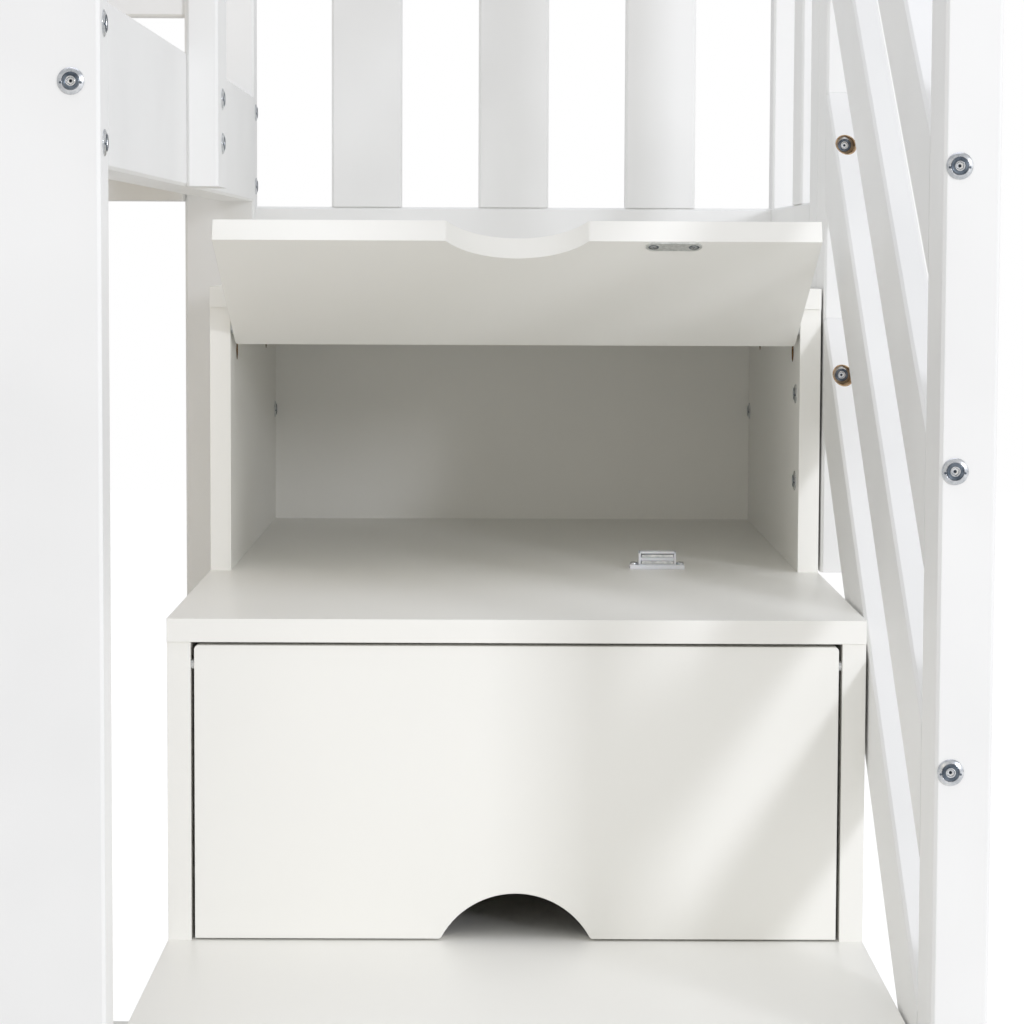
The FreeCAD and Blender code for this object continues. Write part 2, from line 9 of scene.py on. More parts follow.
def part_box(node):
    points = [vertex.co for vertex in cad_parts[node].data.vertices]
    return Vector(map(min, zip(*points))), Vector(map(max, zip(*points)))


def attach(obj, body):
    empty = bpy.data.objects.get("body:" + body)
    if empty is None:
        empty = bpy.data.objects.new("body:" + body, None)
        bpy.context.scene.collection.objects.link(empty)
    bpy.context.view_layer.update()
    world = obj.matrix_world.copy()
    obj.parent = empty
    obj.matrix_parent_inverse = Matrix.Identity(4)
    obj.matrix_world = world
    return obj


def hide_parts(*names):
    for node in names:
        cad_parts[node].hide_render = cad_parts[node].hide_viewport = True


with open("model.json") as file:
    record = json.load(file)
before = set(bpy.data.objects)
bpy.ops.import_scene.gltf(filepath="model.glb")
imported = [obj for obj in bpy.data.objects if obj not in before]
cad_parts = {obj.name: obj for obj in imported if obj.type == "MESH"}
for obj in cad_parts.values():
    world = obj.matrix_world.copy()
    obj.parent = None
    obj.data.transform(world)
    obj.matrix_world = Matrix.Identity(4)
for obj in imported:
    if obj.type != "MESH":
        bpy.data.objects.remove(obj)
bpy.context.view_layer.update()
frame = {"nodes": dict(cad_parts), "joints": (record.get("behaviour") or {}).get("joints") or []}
nodes = frame["nodes"]
MM = 0.001


def linear(hex_colour):
    """An sRGB hex colour as the linear values that shaders use."""
    shares = [int(hex_colour[start:start + 2], 16) / 255 for start in (1, 3, 5)]
    return [s / 12.92 if s <= 0.04045 else ((s + 0.055) / 1.055) ** 2.4 for s in shares] + [1.0]


def add_node(tree, kind, settings=None, **inputs):
    """Adds a node. An input is a value, or the output of another node to link to it; _ stands for a space."""
    node = tree.nodes.new(kind)
    for name, value in (settings or {}).items():
        setattr(node, name, value)
    for name, value in inputs.items():
        key = int(name[1:]) if name[1:].isdigit() else name.replace("_", " ")
        if isinstance(value, bpy.types.NodeSocket):
            tree.links.new(value, node.inputs[key])
        else:
            node.inputs[key].default_value = value
    return node


# ---------------------------------------------------------------- finishes

TIMBER_EDGE_MM = 0.9
BOARD_EDGE_MM = 0.5
PINE_EDGE_MM = 1.0
METAL_EDGE_MM = 0.3
PLASTIC_EDGE_MM = 0.4
STREAKS_PER_MM = 4.0


def new_finish(name, **constants):
    """An empty material with its Principled shader's constants set."""
    material = bpy.data.materials.new(name)
    material.use_nodes = True
    tree = material.node_tree
    shader = tree.nodes["Principled BSDF"]
    for key, value in constants.items():
        shader.inputs[key.replace("_", " ")].default_value = value
    place = add_node(tree, "ShaderNodeTexCoord").outputs["Object"]
    return material, tree, shader, place


def ramp_between(tree, factor, low, high, start=0.35, end=0.65):
    """A smooth colour change between two hex colours."""
    ramp = add_node(tree, "ShaderNodeValToRGB", Fac=factor)
    ramp.color_ramp.elements[0].position, ramp.color_ramp.elements[1].position = start, end
    ramp.color_ramp.elements[0].color, ramp.color_ramp.elements[1].color = linear(low), linear(high)
    return ramp.outputs["Color"]


def mixed_colours(tree, factor, first, second, way="MIX"):
    """Two colours mixed or multiplied by a factor."""
    settings = {"data_type": "RGBA", "blend_type": way}
    return add_node(tree, "ShaderNodeMix", settings, i0=factor, i6=first, i7=second).outputs[2]


def spread(tree, factor, low, high):
    """A number that follows a pattern between two values."""
    return add_node(tree, "ShaderNodeMapRange", Value=factor, To_Min=low, To_Max=high).outputs["Result"]


def noise(tree, place, per_mm, stretch=(1, 1, 1), turn=(0, 0, 0), detail=3.0, rough=0.55, warp=0.0):
    """A noise pattern with one blob every 1 / per_mm millimetres, stretched along the axes."""
    scale = tuple(per_mm / MM * share for share in stretch)
    where = add_node(tree, "ShaderNodeMapping", Vector=place, Scale=scale, Rotation=turn).outputs["Vector"]
    return add_node(tree, "ShaderNodeTexNoise", Vector=where, Scale=1.0, Detail=detail, Roughness=rough,
                    Distortion=warp).outputs["Fac"]


def bumped(tree, shader, heights, edge_mm=0.0):
    """Adds bump patterns, each a height pattern with its depth in millimetres, over softly rounded edges."""
    normal = add_node(tree, "ShaderNodeBevel", {"samples": 4}, Radius=edge_mm * MM).outputs["Normal"] \
        if edge_mm else None
    for height, depth_mm in heights:
        inputs = {"Height": height, "Distance": depth_mm * MM, "Strength": 1.0}
        if normal is not None:
            inputs["Normal"] = normal
        normal = add_node(tree, "ShaderNodeBump", **inputs).outputs["Normal"]
    tree.links.new(normal, shader.inputs["Normal"])


GRAIN_ALONG = {"x": (0.035, 1, 1), "y": (1, 0.035, 1), "z": (1, 1, 0.035)}


def painted_timber(name, along, turn=(0, 0, 0), drilled=None):
    """Solid pine under two coats of satin white paint, rolled on: the grain only just tells through the film
    as long low ripples, and the roller leaves a fine stipple that softens the highlights. Pockets that
    were drilled after painting show torn, dull brown wood."""
    material, tree, shader, place = new_finish(name, IOR=1.5, Specular_IOR_Level=0.45)
    ripples = noise(tree, place, 0.16, GRAIN_ALONG[along], turn, detail=4.0, warp=0.4)
    stipple = noise(tree, place, 0.55, turn=turn, detail=2.0)
    clouds = noise(tree, place, 0.006, turn=turn, detail=2.0)
    colour = ramp_between(tree, clouds, "#EFEFED", "#F5F5F3")
    roughness = spread(tree, ripples, 0.36, 0.5)
    if drilled is not None:
        inside = in_pocket(tree, place, *drilled)
        torn = noise(tree, place, 0.8, (1, 0.2, 1), detail=4.0, rough=0.7)
        raw = ramp_between(tree, torn, "#87694A", "#CBAC84")
        colour = mixed_colours(tree, inside, colour, raw)
        roughness = add_node(tree, "ShaderNodeMix", i0=inside, i2=roughness, i3=0.9).outputs[0]
    tree.links.new(colour, shader.inputs["Base Color"])
    tree.links.new(roughness, shader.inputs["Roughness"])
    bumped(tree, shader, [(ripples, 0.05), (stipple, 0.02)], TIMBER_EDGE_MM)
    return material


def calculate(tree, operation, *values):
    """One Math node's result."""
    inputs = {"i%d" % index: value for index, value in enumerate(values)}
    return add_node(tree, "ShaderNodeMath", {"operation": operation}, **inputs).outputs[0]


def in_pocket(tree, place, line, pitch, radius, front):
    """1 within a radius of lines along y that repeat every pitch in height, behind a front plane, or 0."""
    parts = add_node(tree, "ShaderNodeSeparateXYZ", Vector=place).outputs
    across = calculate(tree, "SUBTRACT", parts["X"], line.x)
    height = calculate(tree, "WRAP", calculate(tree, "SUBTRACT", parts["Z"], line.z), pitch / 2, -pitch / 2)
    away = calculate(tree, "SQRT", calculate(tree, "ADD", calculate(tree, "POWER", across, 2.0),
                                             calculate(tree, "POWER", height, 2.0)))
    near = calculate(tree, "LESS_THAN", away, radius)
    return calculate(tree, "MULTIPLY", near, calculate(tree, "GREATER_THAN", parts["Y"], front))


def lacquered_panel():
    """Fibreboard sprayed with satin white lacquer: a closed, even film with a fine orange peel."""
    material, tree, shader, place = new_finish("sprayed_satin_lacquer_on_fibreboard", IOR=1.5,
                                               Specular_IOR_Level=0.5)
    peel = noise(tree, place, 0.28, detail=2.0)
    clouds = noise(tree, place, 0.004, detail=2.0)
    tree.links.new(ramp_between(tree, clouds, "#FAF9F3", "#FCFBF5"), shader.inputs["Base Color"])
    tree.links.new(spread(tree, peel, 0.34, 0.44), shader.inputs["Roughness"])
    bumped(tree, shader, [(peel, 0.03)], BOARD_EDGE_MM)
    return material


def raw_board():
    """Bare fibreboard in a drilled hole: matt, felted brown fibres, darker where the drill burnt them."""
    material, tree, shader, place = new_finish("bare_fibreboard", IOR=1.47, Specular_IOR_Level=0.1)
    felt = noise(tree, place, 1.2, detail=3.0)
    tree.links.new(ramp_between(tree, felt, "#5A4128", "#94704A"), shader.inputs["Base Color"])
    tree.links.new(spread(tree, felt, 0.85, 0.95), shader.inputs["Roughness"])
    bumped(tree, shader, [(felt, 0.08)])
    return material


def planed_pine():
    """Bare planed pine slats across the bed: pale straw earlywood with darker, narrow latewood lines."""
    material, tree, shader, place = new_finish("planed_bare_pine", IOR=1.52, Specular_IOR_Level=0.3)
    bend = noise(tree, place, 0.01, (1, 0.12, 1), detail=2.0)
    shifted = add_node(tree, "ShaderNodeVectorMath", {"operation": "MULTIPLY_ADD"}, i0=bend,
                       i1=(0.05, 0.0, 0.03), i2=place).outputs["Vector"]
    rings = add_node(tree, "ShaderNodeTexWave", {"wave_type": "BANDS", "bands_direction": "DIAGONAL"},
                     Vector=add_node(tree, "ShaderNodeMapping", Vector=shifted,
                                     Scale=(1, 0.02, 1)).outputs["Vector"],
                     Scale=55.0, Distortion=1.5, Detail=2.0, Detail_Scale=0.6).outputs["Fac"]
    fibres = noise(tree, place, 0.9, (1, 0.02, 1), detail=3.0)
    wood = ramp_between(tree, rings, "#F2EBDD", "#E8D9BC", 0.45, 0.95)
    tone = ramp_between(tree, fibres, "#F2E4CC", "#FFFFFF", 0.3, 0.7)
    colour = mixed_colours(tree, 0.6, wood, tone, "MULTIPLY")
    tree.links.new(colour, shader.inputs["Base Color"])
    tree.links.new(spread(tree, fibres, 0.5, 0.66), shader.inputs["Roughness"])
    bumped(tree, shader, [(fibres, 0.06), (rings, 0.04)], PINE_EDGE_MM)
    return material


def zinc(name, light, dark, roughness):
    """Pressed steel with an electroplated zinc coat: a bright grey metal with fine drawn streaks and small
    cloudy spangles that vary its gloss. Given dark colours, the same finish is painted shade in hollows and
    round screw heads."""
    material, tree, shader, place = new_finish(name, Metallic=1.0)
    streaks = noise(tree, place, STREAKS_PER_MM, (0.08, 1, 1), detail=2.0)
    spangle = noise(tree, place, 0.25, detail=2.0)
    tree.links.new(ramp_between(tree, spangle, light, dark), shader.inputs["Base Color"])
    tree.links.new(spread(tree, spangle, roughness, roughness + 0.14), shader.inputs["Roughness"])
    bumped(tree, shader, [(streaks, 0.006)], METAL_EDGE_MM)
    return material


def moulded_plastic():
    """Injection-moulded white polyamide: cool white, slightly translucent, with a fine eroded texture."""
    material, tree, shader, place = new_finish("moulded_white_polyamide", IOR=1.53, Specular_IOR_Level=0.5,
                                               Subsurface_Weight=0.08, Subsurface_Scale=0.002)
    grit = noise(tree, place, 2.5, detail=1.0)
    tree.links.new(ramp_between(tree, grit, "#ECEEF3", "#F3F4F8"), shader.inputs["Base Color"])
    tree.links.new(spread(tree, grit, 0.38, 0.5), shader.inputs["Roughness"])
    bumped(tree, shader, [(grit, 0.02)], PLASTIC_EDGE_MM)
    return material


def studio_floor():
    """Matt white photographic sweep: an even paper surface with barely visible fibre mottling."""
    material, tree, shader, place = new_finish("matt_white_paper_sweep", IOR=1.45, Specular_IOR_Level=0.1)
    mottle = noise(tree, place, 0.02, detail=3.0)
    tree.links.new(ramp_between(tree, mottle, "#F3F2F0", "#F7F6F4"), shader.inputs["Base Color"])
    tree.links.new(spread(tree, mottle, 0.8, 0.9), shader.inputs["Roughness"])
    bumped(tree, shader, [(mottle, 0.1)])
    seen = add_node(tree, "ShaderNodeLightPath").outputs["Is Camera Ray"]
    shader.inputs["Emission Color"].default_value = (1, 1, 1, 1)
    tree.links.new(spread(tree, seen, 0.0, 0.5), shader.inputs["Emission Strength"])
    return material


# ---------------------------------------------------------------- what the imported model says

def solids_of(name):
    """The corner points of each separate solid of a node, in an order that is the same in each run."""
    shape = bmesh.new()
    shape.from_mesh(nodes[name].data)
    bmesh.ops.remove_doubles(shape, verts=shape.verts, dist=1e-6)
    left, found = set(shape.verts), []
    while left:
        start = left.pop()
        group, border = {start}, [start]
        while border:
            vert = border.pop()
            for link in vert.link_edges:
                other = link.other_vert(vert)
                if other not in group:
                    group.add(other)
                    border.append(other)
        left -= group
        found.append(sorted((vert.co.copy() for vert in group), key=tuple))
    shape.free()
    return sorted(found, key=lambda points: tuple(round(v, 5) for v in sum(points, Vector()) / len(points)))


def long_axis(points):
    """The axis, low end, high end and middle line of a long solid that is parallel to x, y or z."""
    low = Vector([min(p[axis] for p in points) for axis in range(3)])
    high = Vector([max(p[axis] for p in points) for axis in range(3)])
    size = high - low
    axis = max(range(3), key=lambda index: size[index])
    return axis, low, high, (low + high) / 2


HEAD_HEIGHT = 4.0
FULL_FLANGE = 7.8
SLIM_SHARE = 0.88
POCKET_WALL_RADIUS = 7.9
POCKET_REACH = 70.0


def bolt_places():
    """The seat, way out, flange radius and length of every joint bolt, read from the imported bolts."""
    places = []
    for points in solids_of("frame_bolts"):
        axis, low, high, middle = long_axis(points)

        def reach(end):
            others = [index for index in range(3) if index != axis]
            at_end = [p for p in points if abs(p[axis] - end[axis]) < 1e-4]
            return max(math.hypot(*(p[index] - middle[index] for index in others)) for p in at_end)

        outward = Vector((0, 0, 0))
        outward[axis] = 1 if reach(high) > reach(low) else -1
        seat = middle.copy()
        seat[axis] = (high if outward[axis] > 0 else low)[axis] - outward[axis] * HEAD_HEIGHT * MM
        flange = max((high - low)[index] for index in range(3) if index != axis) / 2 / MM
        length = (high - low)[axis] / MM - HEAD_HEIGHT
        places.append((seat, outward, flange, length))
    return places


BOLTS = bolt_places()


def slat_pockets():
    """The lowest pocket's line, the pockets' pitch, and the radius and front plane that hold their walls."""
    slim = sorted((bolt for bolt in BOLTS if bolt[2] < FULL_FLANGE - 1), key=lambda bolt: bolt[0].z)
    pitch = (slim[-1][0].z - slim[0][0].z) / (len(slim) - 1)
    return slim[0][0], pitch, POCKET_WALL_RADIUS * MM, slim[0][0].y - POCKET_REACH * MM


STEP_RISE, STEP_GOING = 222, 296
TREAD_SLOPE = math.atan2(STEP_RISE, STEP_GOING)
timber = {along: painted_timber("rolled_satin_paint_on_pine_" + along, along) for along in "xyz"}
sloping_timber = painted_timber("rolled_satin_paint_on_sloping_pine", "y", (-TREAD_SLOPE, 0, 0),
                                slat_pockets())
panel_lacquer = lacquered_panel()
bare_pine = planed_pine()
raw_fibreboard = raw_board()
bright_zinc = zinc("bright_zinc_plate", "#E2E4E6", "#BFC3C7", 0.16)
satin_steel = zinc("rolled_satin_steel", "#EDEFEE", "#D5D8D6", 0.38)
# Painted shade: a darker dull zinc for the thin discs round the strike screws, where the heads shade the
# plate.
screw_shade_zinc = zinc("zinc_painted_shade_round_screws", "#8B939B", "#6E767F", 0.35)
# Painted shade: near-black zinc for the drilled points at the bottoms of the hex sockets.
socket_shade_zinc = zinc("shaded_zinc", "#3A4048", "#1E2329", 0.4)
# A darker grey zinc: it colours the rings on the bolt heads, and on the pins at the washers' notches it is
# painted shade.
ring_zinc_and_notch_shade = zinc("darker_zinc_and_painted_notch_shade", "#6B747E", "#454D57", 0.3)
white_polyamide = moulded_plastic()

LONG_AXIS = ("x", "y", "z")


def finish_of(name):
    """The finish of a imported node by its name, with a timber's grain along its longest side."""
    if name.startswith("handrail_slat"):
        return sloping_timber
    if name.endswith("bed_slats"):
        return bare_pine
    if name.startswith(("step_", "base_board")) or name[-1].isdigit():
        return panel_lacquer
    if "pins" in name or "strike" in name or "steel" in name:
        return bright_zinc
    low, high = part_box(name)
    size = high - low
    if name == "landing_guard_slats":
        return timber["z"]
    return timber[LONG_AXIS[max(range(3), key=lambda axis: size[axis])]]


for name, node in nodes.items():
    node.data.materials.clear()
    node.data.materials.append(finish_of(name))

# ---------------------------------------------------------------- camera

SENSOR = 36.0
FOCAL_IN_PIXELS = 2846.2
IMAGE_SIDE = 1024
CAMERA_PLACE = Vector((967.23, -2008.0, 912.33)) * MM
PITCH, YAW, ROLL = (math.radians(angle) for angle in (4.134, 0.283, 0.245))
CROP_SHIFT_IN_PIXELS = -50.0


def make_camera():
    """The photograph's camera: close to level, in front of the stairs and a little to their right."""
    forward = Vector((math.sin(YAW) * math.cos(PITCH), math.cos(YAW) * math.cos(PITCH), -math.sin(PITCH)))
    flat_right = Vector((math.cos(YAW), -math.sin(YAW), 0))
    flat_up = flat_right.cross(forward)
    right = math.cos(ROLL) * flat_right + math.sin(ROLL) * flat_up
    up = math.cos(ROLL) * flat_up - math.sin(ROLL) * flat_right
    data = bpy.data.cameras.new("photograph_camera")
    data.sensor_width = SENSOR
    data.lens = FOCAL_IN_PIXELS * SENSOR / IMAGE_SIDE
    data.shift_y = CROP_SHIFT_IN_PIXELS / IMAGE_SIDE
    camera = bpy.data.objects.new("photograph_camera", data)
    bpy.context.scene.collection.objects.link(camera)
    turn = Matrix((right, up, -forward)).transposed().to_4x4()
    camera.matrix_world = Matrix.Translation(CAMERA_PLACE) @ turn
    bpy.context.scene.camera = camera


make_camera()

# ---------------------------------------------------------------- shapes

TURNED_SIDES = 24


def object_from(name, mesh):
    """A new object in the scene."""
    piece = bpy.data.objects.new(name, mesh)
    bpy.context.scene.collection.objects.link(piece)
    return piece


def mesh_from(name, shape):
    """A mesh from a bmesh, with doubles merged and faces turned outwards."""
    bmesh.ops.remove_doubles(shape, verts=shape.verts, dist=1e-7)
    bmesh.ops.recalc_face_normals(shape, faces=shape.faces)
    mesh = bpy.data.meshes.new(name)
    shape.to_mesh(mesh)
    shape.free()
    return mesh


def hexagon(across_flats):
    """How far a hexagon's wall is from its middle, as a function of the direction."""
    sixth = math.pi / 3
    return lambda turn: across_flats / 2 / math.cos((turn + sixth / 2) % sixth - sixth / 2)


def cross(reach, waist):
    """How far the wall of a cross recess is from its middle, as a function of the direction. Directions are
    taken half a side on, so that no side starts at an arm's edge."""
    eighth, half_side = math.pi / 4, math.pi / TURNED_SIDES
    return lambda turn: reach if (turn + half_side + eighth / 2) % (2 * eighth) < eighth else waist


def skinned(shape, loops, hollow=False):
    """Joins loops of points with faces. A hollow shape joins its last loop to its first, others get ends."""
    count = len(loops[0])
    pairs = list(zip(loops, loops[1:])) + ([(loops[-1], loops[0])] if hollow else [])
    for low, high in pairs:
        for index in range(count):
            after = (index + 1) % count
            shape.faces.new((low[index], low[after], high[after], high[index]))
    if not hollow:
        shape.faces.new(loops[0])
        shape.faces.new(loops[-1])


def turned(name, rings, sides=TURNED_SIDES, hollow=False):
    """A closed turned shape along +z in millimetres. A ring is a radius, or a function that gives the radius
    in each direction, and then its height."""
    shape = bmesh.new()
    loops = []
    for radius, height in rings:
        verts = []
        for side in range(sides):
            turn = 2 * math.pi * side / sides
            reach = radius(turn) if callable(radius) else radius
            verts.append(shape.verts.new((reach * math.cos(turn) * MM, reach * math.sin(turn) * MM,
                                          height * MM)))
        loops.append(verts)
    skinned(shape, loops, hollow)
    return mesh_from(name, shape)


def soft_block(shape, low, high, edge):
    """Adds a box between two corners in millimetres, with all its edges rounded."""
    middle = [(a + b) / 2 * MM for a, b in zip(low, high)]
    size = [(b - a) * MM for a, b in zip(low, high)]
    place = Matrix.Translation(middle) @ Matrix.Diagonal(size + [1])
    box = bmesh.ops.create_cube(shape, size=1.0, matrix=place)
    edges = list({e for v in box["verts"] for e in v.link_edges})
    bmesh.ops.bevel(shape, geom=edges, offset=edge * MM, segments=2, affect="EDGES", profile=0.5)


def placing_tree():
    """The node tree that puts a fitting on every point of a mesh, turned and sized by the point's values."""
    tree = bpy.data.node_groups.new("fitting_on_each_point", "GeometryNodeTree")
    tree.interface.new_socket("Geometry", in_out="INPUT", socket_type="NodeSocketGeometry")
    tree.interface.new_socket("Fitting", in_out="INPUT", socket_type="NodeSocketObject")
    tree.interface.new_socket("Finish", in_out="INPUT", socket_type="NodeSocketMaterial")
    tree.interface.new_socket("Geometry", in_out="OUTPUT", socket_type="NodeSocketGeometry")
    given = add_node(tree, "NodeGroupInput")
    fitting = add_node(tree, "GeometryNodeObjectInfo", Object=given.outputs["Fitting"])
    turn = add_node(tree, "GeometryNodeInputNamedAttribute", {"data_type": "FLOAT_VECTOR"}, Name="turn")
    size = add_node(tree, "GeometryNodeInputNamedAttribute", {"data_type": "FLOAT_VECTOR"}, Name="size")
    rotation = add_node(tree, "FunctionNodeEulerToRotation", Euler=turn.outputs["Attribute"])
    placed = add_node(tree, "GeometryNodeInstanceOnPoints", Points=given.outputs["Geometry"],
                      Instance=fitting.outputs["Geometry"], Rotation=rotation.outputs["Rotation"],
                      Scale=size.outputs["Attribute"])
    real = add_node(tree, "GeometryNodeRealizeInstances", Geometry=placed.outputs["Instances"])
    painted = add_node(tree, "GeometryNodeSetMaterial", Geometry=real.outputs["Geometry"],
                       Material=given.outputs["Finish"])
    add_node(tree, "NodeGroupOutput", Geometry=painted.outputs["Geometry"])
    return tree


fitting_tree = placing_tree()
SHARP_FROM_DEGREES = 35


def placed_copies(name, master, places, finish, body, replaced=()):
    """One piece made of the master mesh at every place: a 4 x 4 matrix, or a matrix and a size."""
    places = [place if isinstance(place, tuple) else (place, (1, 1, 1)) for place in places]
    mesh = bpy.data.meshes.new(name)
    mesh.from_pydata([matrix.translation for matrix, size in places], [], [])
    for key, values in (("turn", [matrix.to_euler() for matrix, size in places]),
                        ("size", [size for matrix, size in places])):
        attribute = mesh.attributes.new(key, "FLOAT_VECTOR", "POINT")
        attribute.data.foreach_set("vector", [number for value in values for number in value])
    piece = object_from(name, mesh)
    master_object = object_from(name + "_master", master)
    modifier = piece.modifiers.new("placing", "NODES")
    modifier.node_group = fitting_tree
    for socket in fitting_tree.interface.items_tree:
        if socket.in_out == "INPUT" and socket.name in ("Fitting", "Finish"):
            modifier[socket.identifier] = master_object if socket.name == "Fitting" else finish
    graph = bpy.context.evaluated_depsgraph_get()
    made = bpy.data.meshes.new_from_object(piece.evaluated_get(graph), depsgraph=graph)
    piece.modifiers.clear()
    piece.data = made
    bpy.data.objects.remove(master_object)
    return settled(piece, body, replaced)


def settled(piece, body, replaced):
    """Smooths a finished piece and lets it ride on its body."""
    piece.data.shade_smooth()
    piece.data.set_sharp_from_angle(angle=math.radians(SHARP_FROM_DEGREES))
    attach(piece, body)
    if replaced:
        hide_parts(*replaced)
    return piece


def facing(point, outward, spin_from=Vector((0, 0, 1))):
    """A matrix at a point, with its z along outward and its y along spin_from."""
    outward = Vector(outward).normalized()
    across = spin_from.cross(outward).normalized()
    upward = outward.cross(across)
    return Matrix.Translation(point) @ Matrix((across, upward, outward)).transposed().to_4x4()


# ---------------------------------------------------------------- joint bolts

# Profiles in millimetres from the seat outwards: a radius, then a height.
WASHER = [(3.2, 0.0), (7.6, 0.0), (7.8, 0.15), (7.8, 0.45), (7.5, 0.75), (6.6, 1.05), (5.4, 1.5), (5.0, 1.2),
          (3.2, 1.1)]
HEAD = [(2.9, 0.6), (4.95, 0.6), (5.0, 0.8), (5.0, 1.3), (4.8, 1.5), (3.3, 1.5), (2.9, 1.4)]
HEAD_RING = [(2.85, 1.4), (5.0, 1.4), (5.0, 1.6), (4.6, 1.85), (4.2, 1.7), (3.6, 1.85), (3.0, 1.6)]
SOCKET = [(3.0, 0.1), (3.0, 1.5), (2.85, 1.7), (hexagon(4.5), 1.7), (hexagon(4.0), 1.4), (hexagon(3.8), 0.4),
          (0.3, 0.2)]
SOCKET_POINT = [(0.9, 0.15), (0.95, 0.5), (0.8, 0.55)]
SHANK = [(2.6, -1.0), (2.98, -0.97), (2.98, -0.03), (2.98, 0.0)]
# The notch is a small grey pin on the washer that stands for the shade in one of its two notches.
NOTCH = [(0.75, 0.6), (0.75, 1.45), (0.6, 1.5)]
NOTCH_ACROSS = 5.75
NOTCH_DROP = 0.9


def make_bolts():
    """Washers, low heads with a darker ring on top, sockets and shanks of the joint bolts. A shank is one
    millimetre long and stretched to its bolt's length. The dark points in the sockets and the grey pins at
    the washers' notches are painted shade."""
    wide, slim, heads, shanks, notches = [], [], [], [], []
    for seat, outward, flange, length in BOLTS:
        at = facing(seat, outward)
        heads.append(at)
        shanks.append((at, (1, 1, length)))
        if flange < FULL_FLANGE - 1:
            slim.append((at, (SLIM_SHARE, SLIM_SHARE, 1)))
            continue
        wide.append(at)
        for side in (-1, 1):
            notches.append(at @ Matrix.Translation((side * NOTCH_ACROSS * MM, -NOTCH_DROP * MM, 0)))
    washer = turned("washer", WASHER, 32, hollow=True)
    body, slot = "frame", "zinc_steel"
    placed_copies("bolt_washers", washer, wide, bright_zinc, body, ["frame_bolts"])
    placed_copies("pocket_washers", washer, slim, satin_steel, body)
    placed_copies("bolt_heads", turned("head", HEAD, hollow=True), heads, bright_zinc, body)
    placed_copies("bolt_rings", turned("ring", HEAD_RING, hollow=True), heads, ring_zinc_and_notch_shade, body)
    placed_copies("bolt_sockets", turned("socket", SOCKET), heads, bright_zinc, body)
    # The drilled point in each socket is near black: painted shade in the socket's bottom.
    placed_copies("socket_points", turned("drilled_point", SOCKET_POINT, 10), heads, socket_shade_zinc, body)
    placed_copies("bolt_shanks", turned("shank", SHANK, 10), shanks, bright_zinc, body)
    # Grey pins at each washer's two notches: painted shade in the notches.
    placed_copies("washer_notches", turned("notch", NOTCH, 8), notches, ring_zinc_and_notch_shade, body)


make_bolts()

# ---------------------------------------------------------------- nuts and cams

BARREL_NUT = [(4.2, -12.0), (4.9, -11.6), (5.15, -11.0), (5.15, -0.3), (4.95, 0.05), (4.7, 0.2), (1.0, 0.2),
              (0.6, -1.4)]


def make_barrel_nuts():
    """Barrel nuts that close their holes in the inner faces of the rails and slats."""
    places = []
    hosts = [name for name in nodes if "side_rail" in name or "end_rail" in name or "handrail_slat" in name]
    bed_middle = (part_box("upper_bed_slats")[0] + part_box("upper_bed_slats")[1]) / 2
    for points in solids_of("barrel_nuts"):
        axis, low, high, middle = long_axis(points)
        for name in hosts:
            box_low, box_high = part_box(name)
            if not all(box_low[i] - 1e-4 < middle[i] < box_high[i] + 1e-4 for i in range(3)):
                continue
            inward = 1 if "handrail" in name or bed_middle[axis] > middle[axis] else -1
            face = middle.copy()
            face[axis] = (box_high if inward > 0 else box_low)[axis]
            outward = Vector((0, 0, 0))
            outward[axis] = inward
            places.append(facing(face, outward))
            break
    placed_copies("barrel_nut_faces", turned("nut", BARREL_NUT), places, bright_zinc, "frame",
                  ["barrel_nuts"])


CAM_RECESS = 2.4
CAM_INSET_AS_PACKED = 1.5
LONGEST_DISC = 20.0
CAM_DISC = [(7.2, -11.0), (7.4, -10.5), (7.6, -0.3), (7.6, 0.1), (7.3, 0.3), (5.2, 0.3), (5.0, -0.1),
            (2.4, -0.1), (1.6, -1.6), (0.4, -2.2)]
CAM_BOLT = [(2.6, 0.0), (2.95, 0.5), (2.95, 26.0), (2.5, 26.5)]
CAM_HOLE_WALL = [(6.85, -CAM_RECESS - 0.5), (7.8, -CAM_RECESS - 0.5), (7.8, 0.05), (6.85, 0.05)]


def make_cams():
    """Cam discs, a little below the inner faces of the side panels, in raw-walled holes, and their bolts."""
    discs, shanks, walls = [], [], []
    stair_middle = (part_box("step_1_tread")[0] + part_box("step_1_tread")[1]) / 2
    for points in solids_of("cam_fittings"):
        axis, low, high, middle = long_axis(points)
        if high.z - low.z > LONGEST_DISC * MM:
            shanks.append(facing(Vector((middle.x, middle.y, low.z)), (0, 0, 1), Vector((0, 1, 0))))
            continue
        inward = 1 if stair_middle.x > middle.x else -1
        packed_face = high.x if inward > 0 else low.x
        face = Vector((packed_face + inward * CAM_INSET_AS_PACKED * MM, middle.y, middle.z))
        walls.append(facing(face, (inward, 0, 0)))
        discs.append(facing(face - Vector((inward * CAM_RECESS * MM, 0, 0)), (inward, 0, 0)))
    placed_copies("cam_discs", turned("disc", CAM_DISC), discs, bright_zinc, "frame",
                  ["cam_fittings"])
    placed_copies("cam_bolts", turned("cam_bolt", CAM_BOLT, 12), shanks, bright_zinc, "frame")
    wall = turned("cam_hole_wall", CAM_HOLE_WALL, hollow=True)
    placed_copies("cam_hole_walls", wall, walls, raw_fibreboard, "frame")


make_barrel_nuts()
make_cams()

# ---------------------------------------------------------------- strike plates and catches

